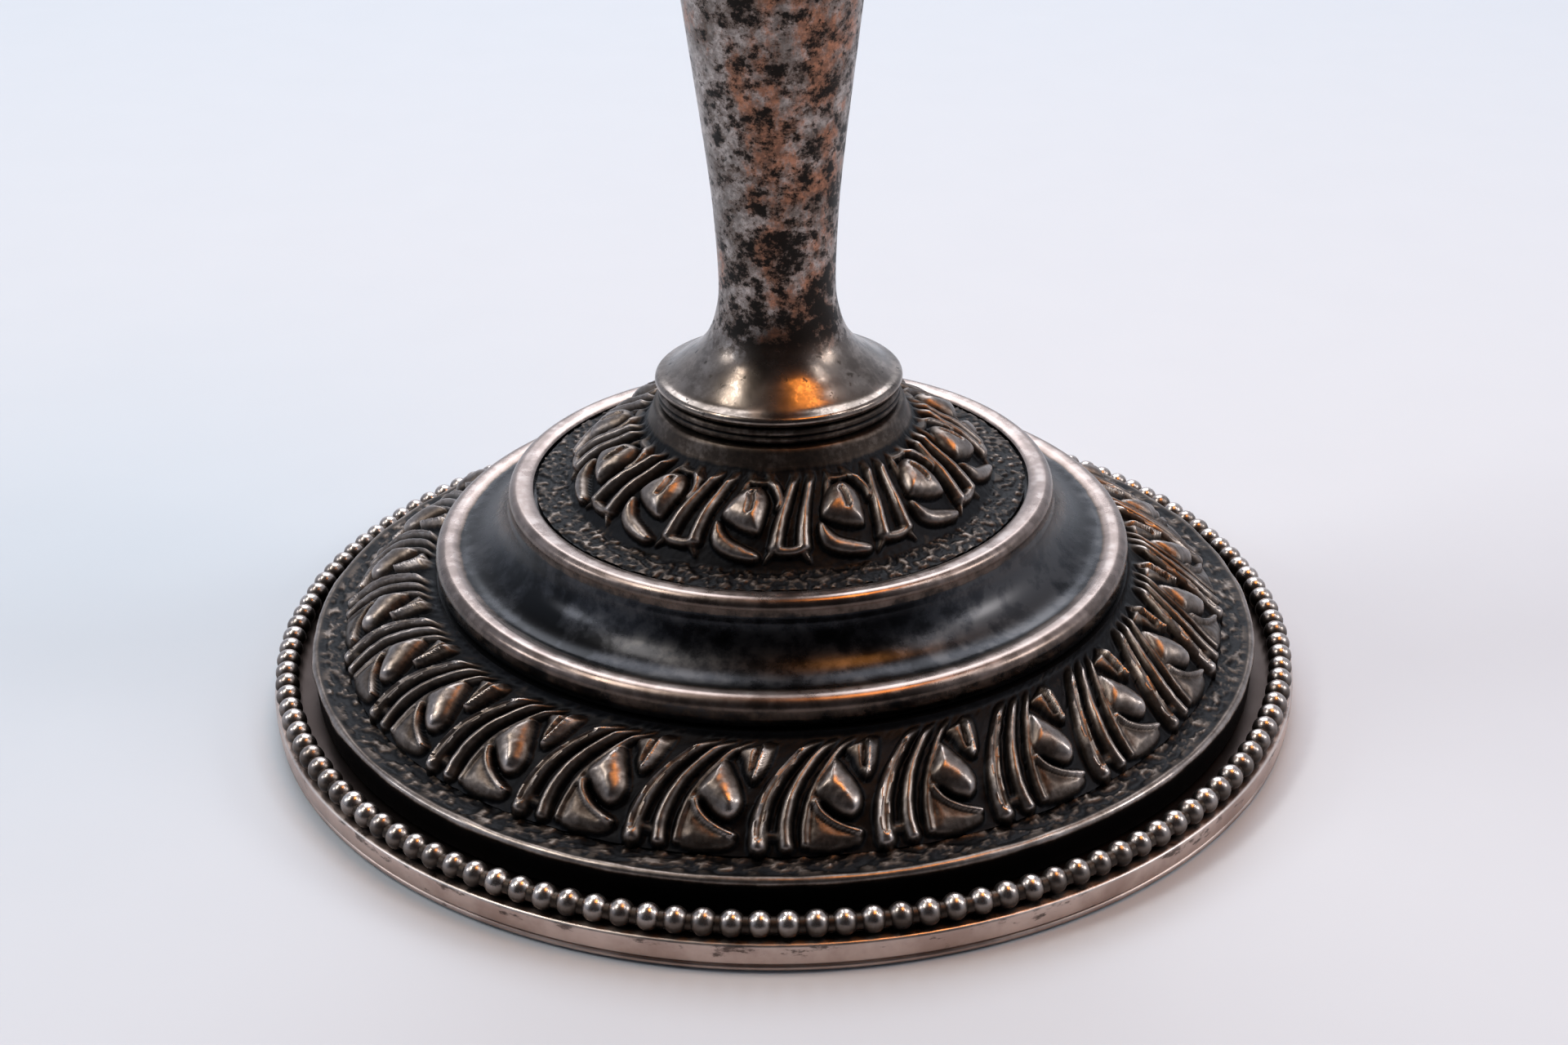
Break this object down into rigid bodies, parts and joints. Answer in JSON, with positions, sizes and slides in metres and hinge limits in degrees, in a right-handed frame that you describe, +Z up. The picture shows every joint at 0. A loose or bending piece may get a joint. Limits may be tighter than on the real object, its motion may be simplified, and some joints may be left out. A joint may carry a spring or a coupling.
{
  "type": "altar candlestick",
  "caption": "Candlestick with a round embossed foot, a slender stem that widens upwards, a knop, a vase-shaped capital, and a lift-off drip pan with a candle socket.",
  "frame": {"origin": "centre of the underside of the baize pad, on the table", "axes": "+Z up the tie rod; the piece is turned about +Z, so +X and +Y are equal"},
  "size_m": [0.127, 0.127, 0.254],
  "materials": {
    "aged_silver": "worn silver plate with a warm satin surface and dark tarnish in the recesses",
    "blackened_silver": "embossed silver plate, black in the grounds and bright on the crests",
    "bright_silver": "polished silver plate on the crests of a beaded wire",
    "stem_plate": "mottled silver plate worn through to copper in patches",
    "steel": "plain dull steel",
    "brass": "plain turned brass, dulled",
    "pitch": "hard black pitch",
    "baize": "green woollen baize"
  },
  "bodies": {
    "candlestick": {"foot_rim": "aged_silver", "foot_bead_border": "bright_silver", "foot_dome": "blackened_silver", "foot_cove": "aged_silver", "foot_cap": "blackened_silver", "seat_ring": "blackened_silver", "stem_shell": "stem_plate", "shoulder_bead_border": "bright_silver", "shoulder_cap": "blackened_silver", "knop": "aged_silver", "capital": "aged_silver", "tie_rod": "steel", "foot_nut": "steel", "foot_washer": "steel", "capital_nut": "brass", "capital_washer": "brass", "foot_loading": "pitch", "stem_loading": "pitch", "base_plate": "steel", "baize_pad": "baize"},
    "nozzle": {"nozzle_spigot": "brass", "drip_pan": "aged_silver", "pan_bead_border": "bright_silver", "candle_socket": "aged_silver"}
  },
  "joints": [
    {"name": "nozzle_lift", "type": "slide", "parent": "candlestick", "child": "nozzle", "axis": [0, 0, 1], "range_m": [0, 0.04]}
  ]
}
